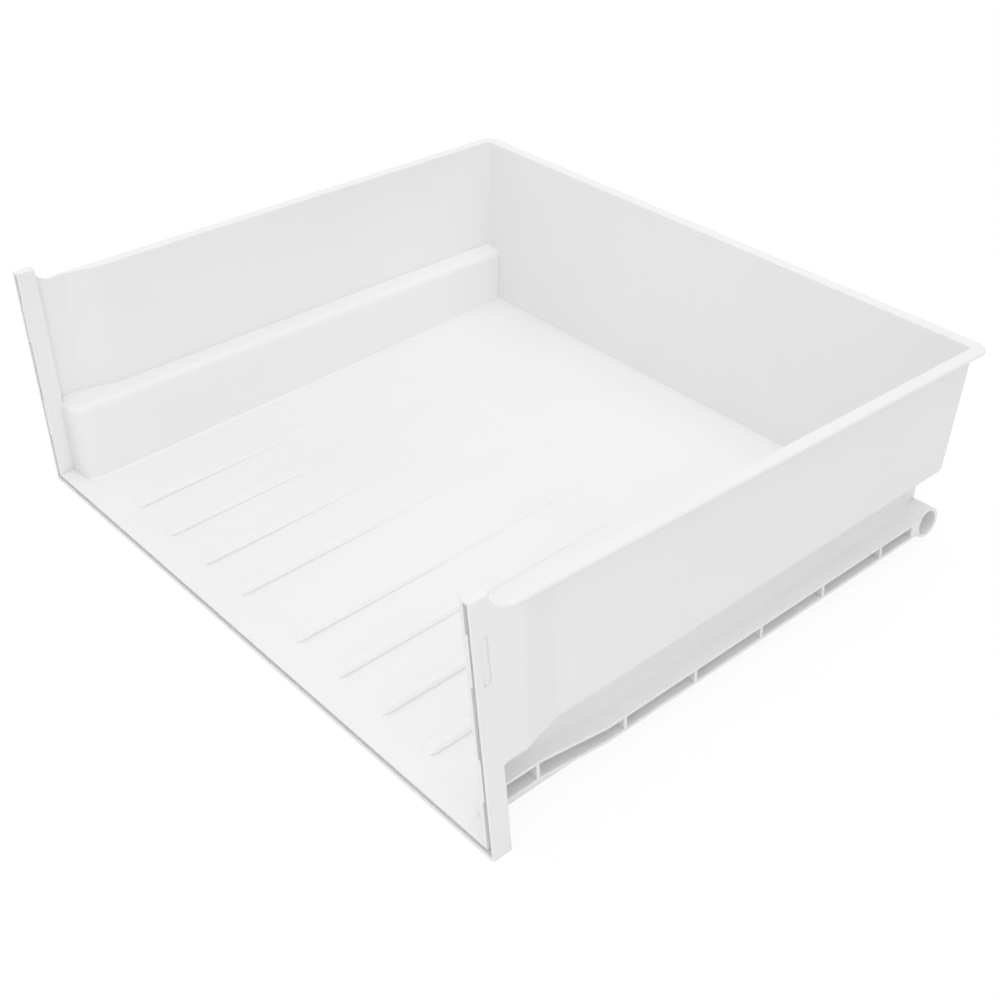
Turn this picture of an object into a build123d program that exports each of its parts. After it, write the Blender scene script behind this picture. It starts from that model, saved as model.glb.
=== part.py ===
from build123d import *
import os

os.makedirs("parts", exist_ok=True)

# Refrigerator crisper drawer bin, one injection moulding with an open front. Millimetres.
# X runs across the width, -Y points to the open front, +Z is up. The origin is midway
# between the sides and between front and back, level with the foot of the front frame.

# Overall size
depth = 392.0
wall = 2.2
rim_width = 460.0
rim_back_height = 135.0
rim_rise = 0.0384  # rise of the rim for each millimetre towards the front
rim_flange = 6.4
rim_thickness = 2.2
rim_corner_radius = 10.0
rim_end_radius = 6.0
rim_end_gap = 9.0  # between the front end of the rim and the front frame
rim_edge_chamfer = 0.6

# Growth of the walls' outer faces for each millimetre of height
side_lean_back = 0.061
side_lean_front = -0.013
back_lean = 0.125
wall_corner_radius = 5.0
inner_corner_chamfer = 1.3
lower_edge_radius = 4.5  # outside, where the side wall turns under the shelf

# Flare that brings the side walls out to the front frame
flare_start = 53.0  # distance from the front face
flare_end_foot = 22.5
flare_end_lean = 0.07
flare_radius = 10.0

# Front frame
frame_beyond_rim = 4.0  # at the foot, on each side
frame_lean = -0.0353
frame_height = 161.3
frame_depth = 11.5
frame_outer_lip = 1.7
frame_groove = 3.2
frame_inner_lip = 2.3
frame_web = 2.0
frame_cap = 1.6
frame_foot_lip = 2.3
frame_top_radius = 0.8
frame_foot_radius = 1.6

# Tabs that narrow the groove, and the snap slot through the outer lip
tab_thickness = 1.5
low_tab_bottom = 38.3
low_tab_top = 65.9
high_tab_bottom = 110.6
high_tab_top = 141.7
slot_width = 5.2
slot_length = 30.0
slot_inset = 6.3
slot_height = 125.1
slot_depth = 1.1

# Hollow in the top of each side wall, where it climbs to the post
saddle_radius = 12.0
saddle_drop = 0.4  # lowest line of the hollow under the top of the rim
saddle_rise = 8.0

# Floor, highest at the back
floor_back_height = 12.8
floor_front_height = 7.3
floor_edge_drop = 0.6

# Step in each side wall: shelf inside, runner recess outside
step_back_inset = 30.5  # from the edge of the rim to the foot of the step
step_lean_back = 0.033
step_front_inset = 28.6
step_lean_front = 0.14
shelf_back_height = 54.6
shelf_rise = 0.0157
shelf_fall = 0.15  # fall towards the inside for each millimetre of width
shelf_edge_radius = 5.0
step_end_radius = 10.0
step_end_wall = 1.2
recess_edge_radius = 4.5

# Floor ribs, with level crests that the rising floor swallows towards the back
rib_width = 9.5
rib_pitch = 42.0
rib_inner_place = 30.0
rib_side_gap = 30.0  # least distance from the foot of the step to a rib's middle
rib_front_gap = 17.5
rib_length = 266.5
rib_end_run = 5.0  # length of the sloping front end
rib_crest = 10.9
rib_crest_chamfer = 1.6

# Runner on the outside of each step
runner_back_inset = 12.5  # from the edge of the rim to the face of the runner
runner_front_inset = 8.0
runner_bottom_back = 10.8
runner_bottom_front = 14.0
runner_height = 11.4
runner_lift = 7.6
pocket_lift = 5.5
runner_flange = 2.0
lift_start = 91.0  # distances from the front face
lift_end = 44.0
lift_radius = 30.0
lift_web_inset = 2.4  # set-back of the web below the lifted flange
runner_root_radius = 6.2
pocket_rib = 2.2
pocket_pitch = 54.0
pocket_end = 8.5  # between the frame and the first pocket
front_pocket_rib = 41.0  # distance of the foremost pocket rib from the front face
last_pocket_gap = 16.0  # between the middle of the boss and the rearmost pocket
last_pocket_length = 30.0

# Hollow boss at the back end of each runner
boss_radius = 10.3
boss_wall = 2.3
boss_back_gap = 27.0
boss_height = 15.9
boss_floor = 2.5

# Gate mark on each side wall
gate_radius = 1.6
gate_out = 0.5
gate_place = 26.6
gate_level = 111.0

# Places worked out from the sizes above
front = -depth / 2
back = depth / 2
frame_back = front + frame_depth
beyond = 40.0
top_level = frame_height + beyond
rim_half = rim_width / 2
rim_front_height = rim_back_height + rim_rise * depth
side_foot_back = rim_half - rim_flange - side_lean_back * rim_back_height
side_foot_front = rim_half - rim_flange - side_lean_front * rim_front_height
frame_foot_half = rim_half + frame_beyond_rim
step_foot_back = rim_half - step_back_inset
step_foot_front = rim_half - step_front_inset
runner_back_half = rim_half - runner_back_inset
runner_front_half = rim_half - runner_front_inset
wall_back_at_rim = back - rim_flange
flare_start_y = front + flare_start
floor_slope = (floor_back_height - floor_front_height) / depth
rim_plane = Plane(
    origin=(0, back, rim_back_height), x_dir=(1, 0, 0), z_dir=(0, rim_rise, 1)
)
floor_plane = Plane(
    origin=(0, back, floor_back_height), x_dir=(1, 0, 0), z_dir=(0, -floor_slope, 1)
)
shelf_outer = side_foot_back + side_lean_back * shelf_back_height - wall
shelf_plane = Plane(
    origin=(shelf_outer, back, shelf_back_height),
    x_dir=(1, 0, shelf_fall),
    z_dir=(-shelf_fall, shelf_rise, 1),
)
recess_plane = Plane(
    origin=(0, back, shelf_back_height - shelf_fall * (shelf_outer - step_foot_back) - wall),
    x_dir=(1, 0, 0),
    z_dir=(0, shelf_rise, 1),
)
frame_back_plane = Plane.XZ.offset(-frame_back)


def frame_half(height):
    """Half width over the outer faces of the front frame."""
    return frame_foot_half + frame_lean * height


def wall_back(height):
    """Outer face of the back wall."""
    return wall_back_at_rim - back_lean * (rim_back_height - height)


def tub_outline(height, inset):
    """Plan of the tub at one height, set in from the outer faces."""
    back_half = side_foot_back + side_lean_back * height - inset
    front_half = side_foot_front + side_lean_front * height - inset
    flare_half = frame_half(height) - inset
    back_y = wall_back(height) - inset
    flare_end_y = front + flare_end_foot + flare_end_lean * height
    right_side = [
        (back_half, back_y),
        (front_half, flare_start_y),
        (flare_half, flare_end_y),
        (flare_half, front - beyond),
    ]
    left_side = [(-x, y) for x, y in reversed(right_side)]
    with BuildSketch(Plane.XY.offset(height)) as plan:
        with BuildLine():
            Polyline(*right_side, *left_side, close=True)
        make_face()
        corners = plan.vertices().group_by(Axis.Y)
        fillet(corners[1] + corners[2], flare_radius)
        fillet(plan.vertices().group_by(Axis.Y)[-1], wall_corner_radius - inset)
    return plan.sketch


def tub_block(inset):
    """The tub as a solid block from the foot to above the rim."""
    with BuildPart() as block:
        loft(sections=[tub_outline(0, inset), tub_outline(top_level, inset)], ruled=True)
    return block.part


def step_outline(height, inset):
    """Plan of the right-hand step at one height, set in from its inner faces."""
    back_x = step_foot_back + step_lean_back * height + inset
    front_x = step_foot_front + step_lean_front * height + inset
    front_y = frame_back - step_end_wall * (1 - inset / wall)
    outside = rim_half + beyond
    with BuildSketch(Plane.XY.offset(height)) as plan:
        with BuildLine():
            Polyline(
                (back_x, back + beyond),
                (front_x, front_y),
                (outside, front_y),
                (outside, back + beyond),
                close=True,
            )
        make_face()
        fillet(plan.vertices().group_by(Axis.Y)[0].sort_by(Axis.X)[0], step_end_radius - inset)
    return plan.sketch


def step_block(inset, top_plane, crest_radius):
    """The right-hand step as a solid block, cut off by a plane and rounded along its crest."""
    low = -beyond
    with BuildPart() as block:
        loft(sections=[step_outline(low, inset), step_outline(top_level, inset)], ruled=True)
        split(bisect_by=top_plane, keep=Keep.BOTTOM)
        crest = block.faces().sort_by(Axis.Z)[-1].edges()
        fillet(crest.sort_by(Axis.X)[0], crest_radius)
    return block.part


def both_sides(part, mode=Mode.ADD):
    """Put a right-hand part and its mirror image into the current part."""
    add(part, mode=mode)
    add(mirror(part, about=Plane.YZ, mode=Mode.PRIVATE), mode=mode)


def is_lower_edge(edge):
    """Whether an edge of the shell is where the side wall turns under the shelf."""
    middle = edge.center()
    above = recess_plane.to_local_coords(middle).Z
    along = abs(edge.tangent_at(0.5).Y) > abs(edge.tangent_at(0.5).X)
    return along and abs(above) < wall / 10 and abs(middle.X) > shelf_outer - wall


step = step_block(0, shelf_plane, shelf_edge_radius)
recess = step_block(wall, recess_plane, recess_edge_radius)
runner_side = step_block(wall / 2, recess_plane, recess_edge_radius)

# Space inside the tub, above the floor
with BuildPart() as core:
    add(tub_block(wall))
    split(bisect_by=floor_plane, keep=Keep.TOP)
    split(bisect_by=frame_back_plane, keep=Keep.BOTTOM)
    both_sides(step, mode=Mode.SUBTRACT)
    floor_edges = core.faces().sort_by(Axis.Z)[0].edges()
    chamfer(floor_edges.sort_by(Axis.Y)[1:], inner_corner_chamfer)

# Outside of the tub, with the runner recesses
with BuildPart() as shell:
    add(tub_block(0))
    split(bisect_by=rim_plane, keep=Keep.BOTTOM)
    split(bisect_by=floor_plane.offset(-wall), keep=Keep.TOP)
    both_sides(recess, mode=Mode.SUBTRACT)
    fillet(shell.edges().filter_by(is_lower_edge), lower_edge_radius)


# Rim flange around the sides and the back, rounded at its corners
rim_front = frame_back + rim_end_gap
rim_length = (back - rim_front) * (1 + rim_rise**2) ** 0.5
with BuildPart() as rim:
    with BuildSketch(rim_plane) as rim_plan:
        with Locations((0, -rim_length / 2)):
            Rectangle(rim_width, rim_length)
        fillet(rim_plan.vertices().group_by(Axis.Y)[-1], rim_corner_radius)
        fillet(rim_plan.vertices().group_by(Axis.Y)[0], rim_end_radius)
    extrude(amount=-rim_thickness)
    rim_edges = rim.faces().sort_by(Axis.Z)[-1].edges() + rim.faces().sort_by(Axis.Z)[0].edges()
    chamfer(rim_edges, rim_edge_chamfer)

# Top of each side wall behind the post, before its hollow is cut
saddle_y = frame_back + saddle_radius
saddle_low = rim_back_height + rim_rise * (back - saddle_y) - saddle_drop
with BuildPart() as gussets:
    with BuildSketch(Plane.YZ):
        with Locations((frame_back - frame_web, saddle_low - saddle_drop)):
            Rectangle(
                saddle_radius + frame_web,
                saddle_rise + saddle_drop,
                align=(Align.MIN, Align.MIN),
            )
    extrude(amount=rim_half, both=True)
    add(tub_block(0), mode=Mode.INTERSECT)
    add(tub_block(wall), mode=Mode.SUBTRACT)
with BuildPart() as saddle:
    with BuildSketch(Plane.YZ):
        with Locations((saddle_y, saddle_low + saddle_radius)):
            Circle(saddle_radius)
    extrude(amount=rim_half + beyond, both=True)


def frame_outline(inset, bottom, top):
    """Corners of the front frame's outline, set in from its outer faces."""
    return [
        (-frame_half(bottom) + inset, bottom),
        (frame_half(bottom) - inset, bottom),
        (frame_half(top) - inset, top),
        (-frame_half(top) + inset, top),
    ]


front_plane = Plane(origin=(0, front, 0), x_dir=(1, 0, 0), z_dir=(0, -1, 0))
groove_inset = frame_outer_lip + frame_groove
opening_inset = groove_inset + frame_inner_lip
edge_height = floor_front_height - floor_edge_drop
groove_top = frame_height - frame_cap
groove_depth = frame_depth - frame_web

# Front frame: two posts and the sill, with a groove all round in the front face
with BuildPart() as frame:
    with BuildSketch(front_plane) as outer_face:
        with BuildLine():
            Polyline(*frame_outline(0, 0, frame_height), close=True)
        make_face()
        fillet(outer_face.vertices().group_by(Axis.Y)[0], frame_foot_radius)
        fillet(outer_face.vertices().group_by(Axis.Y)[-1], frame_top_radius)
    extrude(amount=-frame_depth)
    with BuildSketch(front_plane) as groove_face:
        with BuildLine():
            Polyline(*frame_outline(frame_outer_lip, frame_foot_lip, groove_top), close=True)
        make_face()
        with BuildLine():
            inner_bottom = frame_foot_lip + frame_groove
            Polyline(*frame_outline(groove_inset, inner_bottom, top_level), close=True)
        make_face(mode=Mode.SUBTRACT)
    extrude(amount=-groove_depth, mode=Mode.SUBTRACT)

# Space between the posts, down to the ramp along the front edge of the floor
ramp_back = floor_front_height + floor_slope * frame_depth
ramp_slope = (ramp_back - edge_height) / frame_depth
ramp_plane = Plane(
    origin=(0, frame_back, ramp_back), x_dir=(1, 0, 0), z_dir=(0, -ramp_slope, 1)
)
with BuildPart() as opening:
    with BuildSketch(front_plane.offset(beyond)):
        with BuildLine():
            Polyline(*frame_outline(opening_inset, 0, top_level), close=True)
        make_face()
    extrude(amount=-beyond - frame_depth)
    split(bisect_by=ramp_plane, keep=Keep.TOP)
    both_sides(step, mode=Mode.SUBTRACT)


def tab_block(bottom, top):
    """Right-hand tab on the inner lip, narrowing the groove between two heights."""
    inner = groove_inset + frame_inner_lip / 2
    outer = groove_inset - tab_thickness
    with BuildPart() as tab:
        with BuildSketch(front_plane):
            with BuildLine():
                Polyline(
                    (frame_half(bottom) - inner, bottom),
                    (frame_half(bottom) - outer, bottom),
                    (frame_half(top) - outer, top),
                    (frame_half(top) - inner, top),
                    close=True,
                )
            make_face()
        extrude(amount=-frame_depth + frame_web / 2)
    return tab.part


# Snap slot, a blind recess in the outer lip of each post
slot_plane = Plane(
    origin=(frame_half(slot_height), front + slot_inset, slot_height),
    x_dir=(0, 1, 0),
    z_dir=(1, 0, -frame_lean),
)
with BuildPart() as slot:
    with BuildSketch(slot_plane):
        SlotOverall(slot_length, slot_width, rotation=90)
    extrude(amount=slot_depth, both=True)

# Side line of the runner: its lower edge, and its lift towards the front
runner_fall = (runner_bottom_front - runner_bottom_back) / depth
runner_tail = back - boss_back_gap
lift_from = front + lift_start
lift_to = front + lift_end


def runner_low(place):
    """Height of the runner's straight lower edge."""
    return runner_bottom_back + runner_fall * (back - place)


def runner_top(place):
    """Height of the runner's upper edge, with its lift towards the front."""
    share = min(max((lift_from - place) / (lift_from - lift_to), 0), 1)
    return runner_low(place) + runner_height + runner_lift * share


def runner_outline(inset, low_lift):
    """Side view of the runner, set in from its outer edges, with its lower edge lifted too."""
    with BuildSketch(Plane.YZ.offset(step_foot_back)) as side:
        with BuildLine():
            Polyline(
                (lift_from, runner_low(lift_from) + inset),
                (lift_to, runner_low(lift_to) + low_lift + inset),
                (frame_back, runner_low(frame_back) + low_lift + inset),
                (frame_back, runner_top(frame_back) - inset),
                (lift_to, runner_top(lift_to) - inset),
                (lift_from, runner_top(lift_from) - inset),
                (runner_tail, runner_top(runner_tail) - inset),
                (runner_tail, runner_low(runner_tail) + inset),
                close=True,
            )
        make_face()
        bends = side.vertices().sort_by(Axis.X)[2:6]
        fillet(bends if low_lift > 0 else bends.group_by(Axis.Y)[-2:], lift_radius)
    return side.sketch


runner_plane = Plane(
    origin=(runner_back_half, back, 0),
    x_dir=(0, 1, 0),
    z_dir=(1, (runner_front_half - runner_back_half) / depth, 0),
)
runner_reach = runner_front_half - step_foot_back + beyond

# Runner: flanges above and below a row of pockets, on the outside of the step
with BuildPart() as runner:
    extrude(runner_outline(0, 0), amount=runner_reach)
    split(bisect_by=runner_plane, keep=Keep.BOTTOM)
    add(runner_side, mode=Mode.INTERSECT)

# Web below the lifted flange, set back from the face of the runner
with BuildPart() as lift_web:
    with BuildSketch(Plane.YZ.offset(step_foot_back)) as web_side:
        with BuildLine():
            Polyline(
                (lift_from, runner_low(lift_from)),
                (lift_to, runner_low(lift_to) + pocket_lift),
                (frame_back, runner_low(frame_back) + pocket_lift),
                (frame_back, runner_low(frame_back) - wall),
                (lift_from, runner_low(lift_from) - wall),
                close=True,
            )
        make_face()
        fillet(web_side.vertices().sort_by(Axis.Y)[-2], lift_radius)
    extrude(amount=runner_reach)
    split(bisect_by=runner_plane.offset(-lift_web_inset), keep=Keep.TOP)

# Pockets of the runner, between upright ribs
last_pocket_end = runner_tail - last_pocket_gap
last_pocket_rib = last_pocket_end - last_pocket_length
pocket_count = 1 + int((last_pocket_rib - lift_from) / pocket_pitch)
rib_places = [last_pocket_rib - pocket_pitch * index for index in range(pocket_count)]
with BuildPart() as pockets:
    extrude(runner_outline(runner_flange, pocket_lift), amount=runner_reach)
    split(bisect_by=Plane.XZ.offset(-frame_back - pocket_end), keep=Keep.BOTTOM)
    split(bisect_by=Plane.XZ.offset(-last_pocket_end), keep=Keep.TOP)
    with BuildSketch(Plane.YZ) as rib_side:
        with Locations(*[(place, 0) for place in rib_places + [front + front_pocket_rib]]):
            Rectangle(pocket_rib, top_level)
    extrude(amount=rim_half, mode=Mode.SUBTRACT)
    add(recess, mode=Mode.INTERSECT)

# Hollow boss at the back end of the runner
boss_root = step_foot_back + step_lean_back * boss_height + wall / 2
with BuildPart() as boss:
    with BuildSketch(Plane.YZ.offset(boss_root)):
        with Locations((runner_tail, boss_height)):
            Circle(boss_radius)
    extrude(amount=runner_back_half - boss_root)
with BuildPart() as bore:
    with BuildSketch(Plane.YZ.offset(runner_back_half + beyond)):
        with Locations((runner_tail, boss_height)):
            Circle(boss_radius - boss_wall)
    extrude(amount=-beyond - runner_back_half + boss_root + boss_floor)

# Gate mark on the outside of the side wall
gate_half = side_foot_back + side_lean_back * gate_level
with BuildPart() as gate:
    with BuildSketch(Plane.YZ.offset(gate_half - wall / 2)):
        with Locations((gate_place, gate_level)):
            Circle(gate_radius)
    extrude(amount=gate_out + wall / 2)


def floor_rib(inset):
    """Raised rib of the floor with a sloping, rounded front end, at the middle of the width."""
    radius = rib_width / 2 - inset
    rib_middle = front + rib_front_gap + rib_length / 2
    end_plane = Plane(
        origin=(0, front + rib_front_gap, floor_front_height),
        x_dir=(1, 0, 0),
        z_dir=(0, floor_front_height - rib_crest, rib_end_run),
    )
    with BuildPart() as rib:
        with BuildSketch(Plane.XY.offset(-beyond)):
            with Locations((0, rib_middle)):
                SlotOverall(rib_length - 2 * inset, 2 * radius, rotation=90)
        extrude(amount=rib_crest - inset + beyond)
        chamfer(rib.faces().sort_by(Axis.Z)[-1].edges(), max(rib_crest_chamfer - inset, wall / 4))
        split(bisect_by=end_plane.offset(-inset), keep=Keep.BOTTOM)
    return rib.part


rib_count = 1 + int((step_foot_back - rib_inner_place - rib_side_gap) / rib_pitch)
rib_row = [rib_inner_place + rib_pitch * index for index in range(rib_count)]
with BuildPart() as ribs:
    with Locations(*[(place, 0) for place in rib_row]):
        add(floor_rib(0))
    split(bisect_by=floor_plane.offset(-wall / 2), keep=Keep.TOP)
with BuildPart() as rib_channels:
    with Locations(*[(place, 0) for place in rib_row]):
        add(floor_rib(wall))

def is_runner_root(edge):
    """Whether an edge is where the top of a runner meets the wall of the recess."""
    middle = edge.center()
    level = abs(middle.Z - runner_top(middle.Y)) < wall / 4
    inside = abs(middle.X) < runner_back_half - wall / 2
    return level and inside and abs(edge.tangent_at(0.5).Y) > abs(edge.tangent_at(0.5).Z)


# The drawer, one moulding
with BuildPart() as drawer:
    add(shell)
    both_sides(runner.part)
    fillet(drawer.edges().filter_by(is_runner_root), runner_root_radius)
    split(bisect_by=frame_back_plane, keep=Keep.BOTTOM)
    add(rim)
    add(gussets)
    add(saddle, mode=Mode.SUBTRACT)
    both_sides(lift_web.part, mode=Mode.SUBTRACT)
    both_sides(pockets.part, mode=Mode.SUBTRACT)
    both_sides(boss.part)
    both_sides(bore.part, mode=Mode.SUBTRACT)
    both_sides(gate.part)
    add(core, mode=Mode.SUBTRACT)
    both_sides(rib_channels.part, mode=Mode.SUBTRACT)
    both_sides(ribs.part)
    add(frame)
    both_sides(tab_block(low_tab_bottom, low_tab_top))
    both_sides(tab_block(high_tab_bottom, high_tab_top))
    both_sides(slot.part, mode=Mode.SUBTRACT)
    add(opening, mode=Mode.SUBTRACT)

drawer.part.label = "crisper_drawer"
export_step(drawer.part, "parts/crisper_drawer.step")
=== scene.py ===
import math

import bpy
from mathutils import Matrix, Vector

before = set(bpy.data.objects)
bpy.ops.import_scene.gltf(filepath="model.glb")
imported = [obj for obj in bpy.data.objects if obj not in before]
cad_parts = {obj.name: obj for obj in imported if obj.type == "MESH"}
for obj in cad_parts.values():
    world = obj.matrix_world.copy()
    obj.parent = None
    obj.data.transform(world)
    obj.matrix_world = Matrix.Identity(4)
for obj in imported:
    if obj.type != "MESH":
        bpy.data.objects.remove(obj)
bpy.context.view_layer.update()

scene = bpy.context.scene
scene.view_settings.view_transform = "Standard"

white = (1, 1, 1, 1)

# Camera fitted to the photograph: place in metres, angles in degrees, lens in millimetres
camera_place = (0.6754, -0.5261, 0.6100)
camera_azimuth = 50.4
camera_drop = 32.8
camera_roll = -2.5
camera_sensor = 36.0
camera_lens = 57.41
camera_shift_x = -0.03
camera_shift_y = -0.07


def camera_matrix():
    """Place and turn of the camera, from its azimuth, drop and roll."""
    turn, drop, roll = (math.radians(a) for a in (camera_azimuth, camera_drop, camera_roll))
    forward = Vector(
        (-math.sin(turn) * math.cos(drop), math.cos(turn) * math.cos(drop), -math.sin(drop))
    )
    right = Vector((math.cos(turn), math.sin(turn), 0))
    up = right.cross(forward)
    right_rolled = math.cos(roll) * right + math.sin(roll) * up
    up_rolled = -math.sin(roll) * right + math.cos(roll) * up
    axes = Matrix((right_rolled, up_rolled, -forward)).transposed()
    return Matrix.Translation(camera_place) @ axes.to_4x4()


camera_data = bpy.data.cameras.new("camera")
camera_data.sensor_width = camera_sensor
camera_data.lens = camera_lens
camera_data.shift_x = camera_shift_x
camera_data.shift_y = camera_shift_y
camera = bpy.data.objects.new("camera", camera_data)
camera.matrix_world = camera_matrix()
scene.collection.objects.link(camera)
scene.camera = camera


# Helpers for materials and the world
def new_material(name):
    """Material whose node tree holds only a principled shader."""
    material = bpy.data.materials.new(name)
    material.use_nodes = True
    nodes = material.node_tree.nodes
    nodes.clear()
    return material, nodes.new("ShaderNodeBsdfPrincipled")


def join_output(tree, surface):
    """Join a shader's socket to the material's new output."""
    output = tree.nodes.new("ShaderNodeOutputMaterial")
    tree.links.new(surface, output.inputs["Surface"])


def math_node(tree, operation, first, second):
    """Math node with two inputs, each a socket or a decimal number."""
    node = tree.nodes.new("ShaderNodeMath")
    node.operation = operation
    for socket, value in zip(node.inputs, (first, second)):
        if isinstance(value, float):
            socket.default_value = value
        else:
            tree.links.new(value, socket)
    return node.outputs["Value"]


def background_share(tree, share):
    """A share for camera, glossy and transmission rays, and 0 for all others."""
    rays = tree.nodes.new("ShaderNodeLightPath").outputs
    shiny = math_node(tree, "MAXIMUM", rays["Is Glossy Ray"], rays["Is Transmission Ray"])
    seen = math_node(tree, "MAXIMUM", rays["Is Camera Ray"], shiny)
    return math_node(tree, "MULTIPLY", seen, share)


# Moulded white plastic: slight tone shifts, painted shade that darkens creases, satin gloss
# that varies, a fine grain and faint mould waves. Noise scales are in cells per metre,
# lengths in metres, and tone and gloss reach their limits where the noise is at noise_low and
# noise_high
noise_low = 0.3
noise_high = 0.7
tone_scale = 7.0
tone_detail = 3.0
tone_low = (0.898, 0.900, 0.898, 1)
tone_high = (0.918, 0.919, 0.917, 1)
# Painted shade in creases: occlusion within this reach darkens the colour, down to the lowest
# level below
painted_shade_reach = 0.0025
painted_shade_samples = 4
painted_shade_lowest = 0.89
gloss_scale = 22.0
gloss_detail = 4.0
roughness_low = 0.30
roughness_high = 0.42
grain_scale = 900.0
grain_detail = 2.0
grain_strength = 0.06
grain_height = 0.0002
wave_scale = 14.0
wave_detail = 1.0
wave_strength = 0.10
wave_height = 0.002
plastic_ior = 1.5


def noise(tree, place, scale, detail):
    """Noise from 0 to 1 at a place in object coordinates."""
    node = tree.nodes.new("ShaderNodeTexNoise")
    node.inputs["Scale"].default_value = scale
    node.inputs["Detail"].default_value = detail
    tree.links.new(place, node.inputs["Vector"])
    return node.outputs["Fac"]


def tone(tree, place):
    """Colour that shifts slightly over the surface."""
    ramp = tree.nodes.new("ShaderNodeValToRGB")
    stops = ramp.color_ramp.elements
    for stop, position, color in zip(stops, (noise_low, noise_high), (tone_low, tone_high)):
        stop.position = position
        stop.color = color
    tree.links.new(noise(tree, place, tone_scale, tone_detail), ramp.inputs["Fac"])
    return ramp.outputs["Color"]


def painted_crease_shade(tree):
    """Painted shade in creases: a factor of 1 on open faces, falling to its set lowest level
    in narrow corners.
    """
    crease = tree.nodes.new("ShaderNodeAmbientOcclusion")
    crease.samples = painted_shade_samples
    crease.inputs["Distance"].default_value = painted_shade_reach
    shade = tree.nodes.new("ShaderNodeMapRange")
    shade.inputs["To Min"].default_value = painted_shade_lowest
    tree.links.new(crease.outputs["AO"], shade.inputs["Value"])
    return shade.outputs["Result"]


def multiply_colors(tree, first, second):
    """Product of two colours. A mix node's colour sockets are told apart only by number."""
    color_a, color_b, color_result = 6, 7, 2
    mix = tree.nodes.new("ShaderNodeMix")
    mix.data_type = "RGBA"
    mix.blend_type = "MULTIPLY"
    mix.inputs["Factor"].default_value = 1.0
    tree.links.new(first, mix.inputs[color_a])
    tree.links.new(second, mix.inputs[color_b])
    return mix.outputs[color_result]


def gloss(tree, place):
    """Roughness that varies between its two limits."""
    spread = tree.nodes.new("ShaderNodeMapRange")
    spread.inputs["From Min"].default_value = noise_low
    spread.inputs["From Max"].default_value = noise_high
    spread.inputs["To Min"].default_value = roughness_low
    spread.inputs["To Max"].default_value = roughness_high
    tree.links.new(noise(tree, place, gloss_scale, gloss_detail), spread.inputs["Value"])
    return spread.outputs["Result"]


def bump(tree, height, strength, distance):
    """Bump node for a height, to be laid over another one's normal."""
    node = tree.nodes.new("ShaderNodeBump")
    node.inputs["Strength"].default_value = strength
    node.inputs["Distance"].default_value = distance
    tree.links.new(height, node.inputs["Height"])
    return node


def moulded_plastic():
    """White plastic of the whole bin."""
    material, shader = new_material("white_plastic")
    tree = material.node_tree
    place = tree.nodes.new("ShaderNodeTexCoord").outputs["Object"]
    # The colour is the random tone times the painted shade in creases
    color = multiply_colors(tree, tone(tree, place), painted_crease_shade(tree))
    grain_noise = noise(tree, place, grain_scale, grain_detail)
    wave_noise = noise(tree, place, wave_scale, wave_detail)
    grain = bump(tree, grain_noise, grain_strength, grain_height)
    waves = bump(tree, wave_noise, wave_strength, wave_height)
    tree.links.new(grain.outputs["Normal"], waves.inputs["Normal"])
    tree.links.new(color, shader.inputs["Base Color"])
    tree.links.new(gloss(tree, place), shader.inputs["Roughness"])
    tree.links.new(waves.outputs["Normal"], shader.inputs["Normal"])
    shader.inputs["IOR"].default_value = plastic_ior
    join_output(tree, shader.outputs["BSDF"])
    return material


plastic = moulded_plastic()
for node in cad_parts.values():
    node.data.materials.clear()
    node.data.materials.append(plastic)

# Floor, white to the camera apart from a faint shadow
floor_size = 12.0
floor_shadow = 0.12
floor_color = (0.90, 0.90, 0.90, 1)
floor_roughness = 0.9
floor_glow = 1.03


def floor_white():
    """Matt pale floor, with a white glow over it for the rays that see it as background."""
    material, shader = new_material("floor_white")
    tree = material.node_tree
    shader.inputs["Base Color"].default_value = floor_color
    shader.inputs["Roughness"].default_value = floor_roughness
    glow = tree.nodes.new("ShaderNodeEmission")
    glow.inputs["Color"].default_value = white
    glow.inputs["Strength"].default_value = floor_glow
    mix = tree.nodes.new("ShaderNodeMixShader")
    tree.links.new(background_share(tree, 1 - floor_shadow), mix.inputs["Fac"])
    tree.links.new(shader.outputs["BSDF"], mix.inputs[1])
    tree.links.new(glow.outputs["Emission"], mix.inputs[2])
    join_output(tree, mix.outputs["Shader"])
    return material


bpy.ops.mesh.primitive_plane_add(size=floor_size, location=(0, 0, 0))
floor = bpy.context.object
floor.name = "floor"
floor.data.materials.append(floor_white())

# World: white background for the camera, and wide soft panels that light the object
# Each panel: azimuth from +X towards +Y and height, both in degrees, and its strength
sky_panels = [
    (315, 45, 0.98),
    (45, 45, 0.56),
    (0, 45, 0.24),
    (0, 12, 0.32),
    (225, 12, 0.90),
    (135, 12, 0.65),
    (180, 45, 0.74),
]
panel_focus = 4.0
background_strength = 1.0


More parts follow.
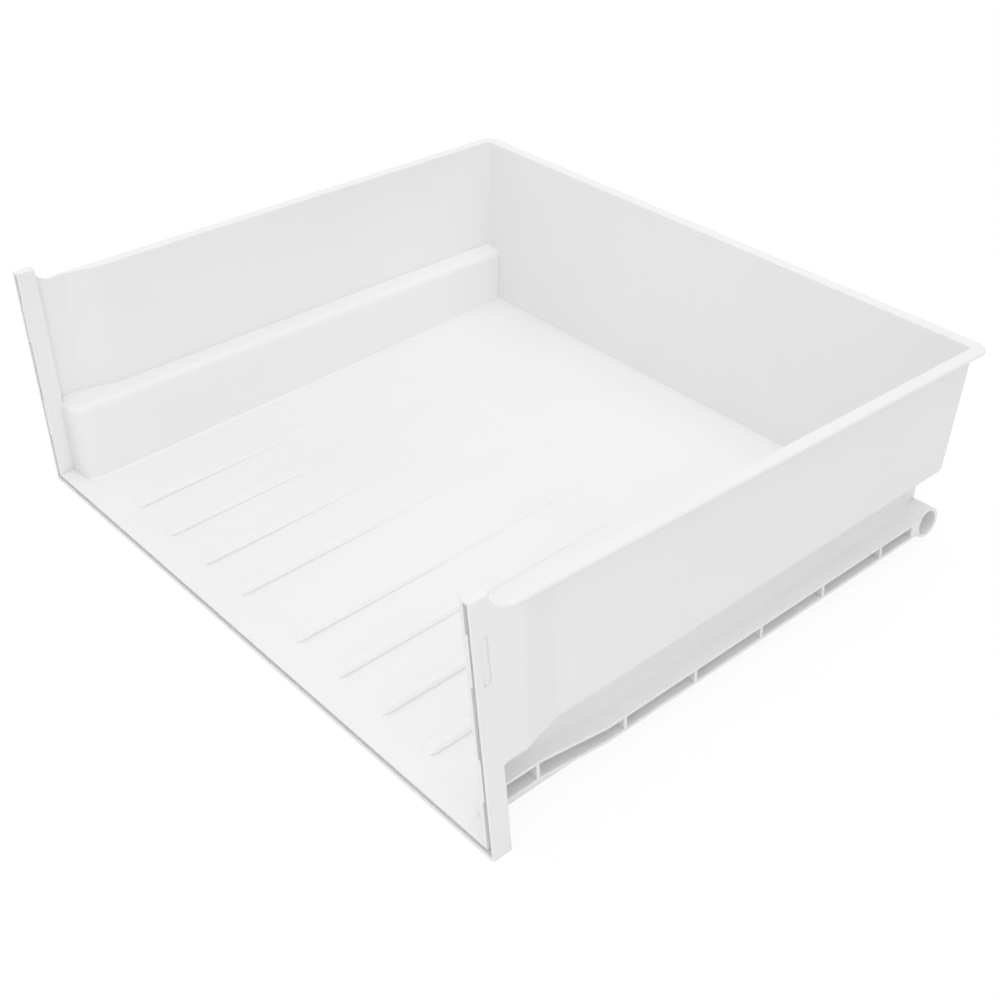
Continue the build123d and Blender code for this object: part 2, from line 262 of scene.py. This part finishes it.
def sky_panel(tree, way, azimuth, height, strength):
    """Light of one panel, brightest at its middle and fading evenly around it."""
    turn, rise = math.radians(azimuth), math.radians(height)
    facing = tree.nodes.new("ShaderNodeVectorMath")
    facing.operation = "DOT_PRODUCT"
    facing.inputs[1].default_value = (
        math.cos(turn) * math.cos(rise), math.sin(turn) * math.cos(rise), math.sin(rise)
    )
    tree.links.new(way, facing.inputs[0])
    front = math_node(tree, "MAXIMUM", facing.outputs["Value"], 0.0)
    return math_node(tree, "MULTIPLY", math_node(tree, "POWER", front, panel_focus), strength)


def sky_light(tree):
    """Light of all the panels together."""
    way = tree.nodes.new("ShaderNodeTexCoord").outputs["Generated"]
    total = sky_panel(tree, way, *sky_panels[0])
    for panel in sky_panels[1:]:
        total = math_node(tree, "ADD", total, sky_panel(tree, way, *panel))
    return total


def build_world():
    """World that is white where it is seen, and otherwise gives the panels' light."""
    world = bpy.data.worlds.new("world")
    world.use_nodes = True
    tree = world.node_tree
    tree.nodes.clear()
    strength = tree.nodes.new("ShaderNodeMapRange")
    tree.links.new(background_share(tree, 1.0), strength.inputs["Value"])
    tree.links.new(sky_light(tree), strength.inputs["To Min"])
    strength.inputs["To Max"].default_value = background_strength
    back = tree.nodes.new("ShaderNodeBackground")
    back.inputs["Color"].default_value = white
    tree.links.new(strength.outputs["Result"], back.inputs["Strength"])
    output = tree.nodes.new("ShaderNodeOutputWorld")
    tree.links.new(back.outputs["Background"], output.inputs["Surface"])
    return world


scene.world = build_world()


# Soft lamps: places and sizes in metres, power in watts
def lamp(name, place, target, size, power):
    """Square area lamp looking at a point."""
    data = bpy.data.lights.new(name, "AREA")
    data.shape = "SQUARE"
    data.size = size
    data.energy = power
    look = Vector(target) - Vector(place)
    turn = look.to_track_quat("-Z", "Y").to_matrix().to_4x4()
    light = bpy.data.objects.new(name, data)
    light.matrix_world = Matrix.Translation(place) @ turn
    scene.collection.objects.link(light)


lamp("top_lamp", place=(0.1, 0.1, 2.2), target=(0, 0, 0.06), size=1.8, power=10.0)
lamp("front_lamp", place=(0.75, -0.95, 0.16), target=(0.2, -0.1, 0.06), size=0.4, power=0.8)
